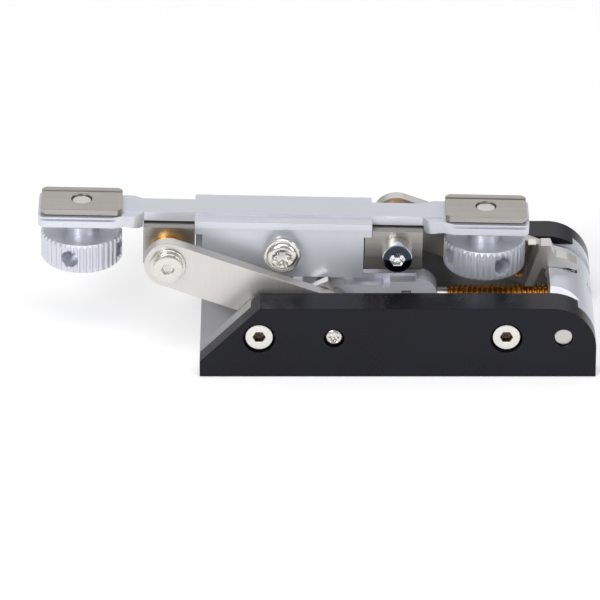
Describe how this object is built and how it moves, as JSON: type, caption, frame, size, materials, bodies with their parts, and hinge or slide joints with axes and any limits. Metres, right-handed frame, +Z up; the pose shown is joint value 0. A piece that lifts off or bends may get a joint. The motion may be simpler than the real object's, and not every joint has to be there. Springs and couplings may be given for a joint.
{
  "type": "adjustable riser block",
  "caption": "Low riser block: level rail on parallel arms over a black channel base, fine screw with thumb latch, knob-clamped T-nut at each rail end.",
  "frame": {"origin": "centre of the base's flat underside", "axes": "+X along the base towards the screw and lever end, +Y across it towards the rear plate, +Z up"},
  "size_m": [0.1628, 0.056, 0.0443],
  "materials": {
    "black_anodised": "satin black anodised, glossier on the lips",
    "silver_anodised": "fine bead-blasted silver anodising",
    "satin_nickel": "satin nickel plate",
    "bright_nickel": "bright nickel plate",
    "polished_chrome": "polished",
    "arm_stainless": "ground stainless, satin",
    "block_steel": "brushed along X",
    "plain_steel": "turned",
    "spring_steel": "drawn wire",
    "bush_brass": "turned brass",
    "screw_brass": "cut thread, warm brass"
  },
  "bodies": {
    "base": {"floor_plate": "silver_anodised", "inner_wall_front": "silver_anodised", "inner_wall_rear": "silver_anodised", "side_plate_front": "black_anodised", "side_plate_rear": "black_anodised", "end_block": "silver_anodised", "plate_screws_front": "satin_nickel", "plate_screws_rear": "satin_nickel", "shaft_screw_front": "bright_nickel", "shaft_screw_rear": "bright_nickel", "arm_shaft": "plain_steel", "shaft_spacers": "plain_steel", "rear_pivot_pin": "plain_steel", "locating_dowel": "plain_steel", "lever_pin": "plain_steel", "block_screws": "plain_steel", "lever_spring": "spring_steel"},
    "front_arm": {"front_arm": "arm_stainless", "arm_hub": "plain_steel", "crank_lever": "arm_stainless", "crank_pin": "plain_steel"},
    "rear_arm": {"rear_arm": "arm_stainless", "rear_arm_bush": "bush_brass"},
    "rail": {"top_rail": "silver_anodised", "hanger_block": "silver_anodised", "bearing_block_left": "block_steel", "bearing_block_right": "block_steel", "pivot_screw_left": "satin_nickel", "pivot_screw_right": "polished_chrome", "pivot_bush_left": "bush_brass", "pivot_bush_right": "bush_brass", "pivot_retainer": "plain_steel", "stop_screw": "bright_nickel", "hanger_bolts": "plain_steel"},
    "knob_left": {"clamp_knob_left": "silver_anodised", "clamp_stud_left": "plain_steel", "clamp_washer_left": "block_steel"},
    "knob_right": {"clamp_knob_right": "silver_anodised", "clamp_stud_right": "plain_steel", "clamp_washer_right": "block_steel"},
    "nut_left": {"clamp_nut_left": "block_steel"},
    "nut_right": {"clamp_nut_right": "block_steel"},
    "slider": {"yoke_link": "silver_anodised"},
    "screw": {"lead_screw": "screw_brass", "screw_collar": "plain_steel", "screw_neck": "plain_steel"},
    "lever": {"release_lever": "arm_stainless", "lever_finger": "arm_stainless"}
  },
  "joints": [
    {"name": "lift", "type": "hinge", "parent": "base", "child": "front_arm", "pos_m": [-0.0186, 0, 0.0126], "axis": [0, 1, 0], "range_deg": [0, 50]},
    {"name": "rear_swing", "type": "hinge", "parent": "base", "child": "rear_arm", "pos_m": [0.0482, 0, 0.0126], "axis": [0, 1, 0], "range_deg": [0, 50]},
    {"name": "rail_level", "type": "hinge", "parent": "front_arm", "child": "rail", "pos_m": [-0.0669, 0, 0.03076], "axis": [0, 1, 0], "range_deg": [-50, 0]},
    {"name": "yoke_travel", "type": "slide", "parent": "base", "child": "slider", "axis": [1, 0, 0], "range_m": [0, 0.0066]},
    {"name": "screw_turn", "type": "hinge", "parent": "slider", "child": "screw", "pos_m": [0, 0, 0.012], "axis": [1, 0, 0], "range_deg": [0, 1540]},
    {"name": "release", "type": "hinge", "parent": "base", "child": "lever", "pos_m": [0.046, 0, 0.0196], "axis": [0, 1, 0], "range_deg": [0, 8], "stiffness_Nm_per_rad": 0.05, "springref_deg": -8.59, "deforming": ["lever_spring"]},
    {"name": "nut_left_travel", "type": "slide", "parent": "rail", "child": "nut_left", "axis": [0.0209, 0, 0.9998], "range_m": [0, 0.00151]},
    {"name": "knob_left_turn", "type": "hinge", "parent": "rail", "child": "knob_left", "pos_m": [-0.0926, 0, 0.03124], "axis": [0.0209, 0, 0.9998], "range_deg": [-540, 0]},
    {"name": "nut_right_travel", "type": "slide", "parent": "rail", "child": "nut_right", "axis": [0.0209, 0, 0.9998], "range_m": [0, 0.00151]},
    {"name": "knob_right_turn", "type": "hinge", "parent": "rail", "child": "knob_right", "pos_m": [0.02567, 0, 0.02876], "axis": [0.0209, 0, 0.9998], "range_deg": [-540, 0]}
  ],
  "couplings": [
    {"joint": "rear_swing", "follows": "lift", "ratio": 1},
    {"joint": "rail_level", "follows": "lift", "ratio": -1},
    {"joint": "yoke_travel", "follows": "lift", "m_per_rad": 0.0072643},
    {"joint": "screw_turn", "follows": "lift", "ratio": 30.428},
    {"joint": "nut_left_travel", "follows": "knob_left_turn", "m_per_rad": -0.00015915},
    {"joint": "nut_right_travel", "follows": "knob_right_turn", "m_per_rad": -0.00015915}
  ]
}
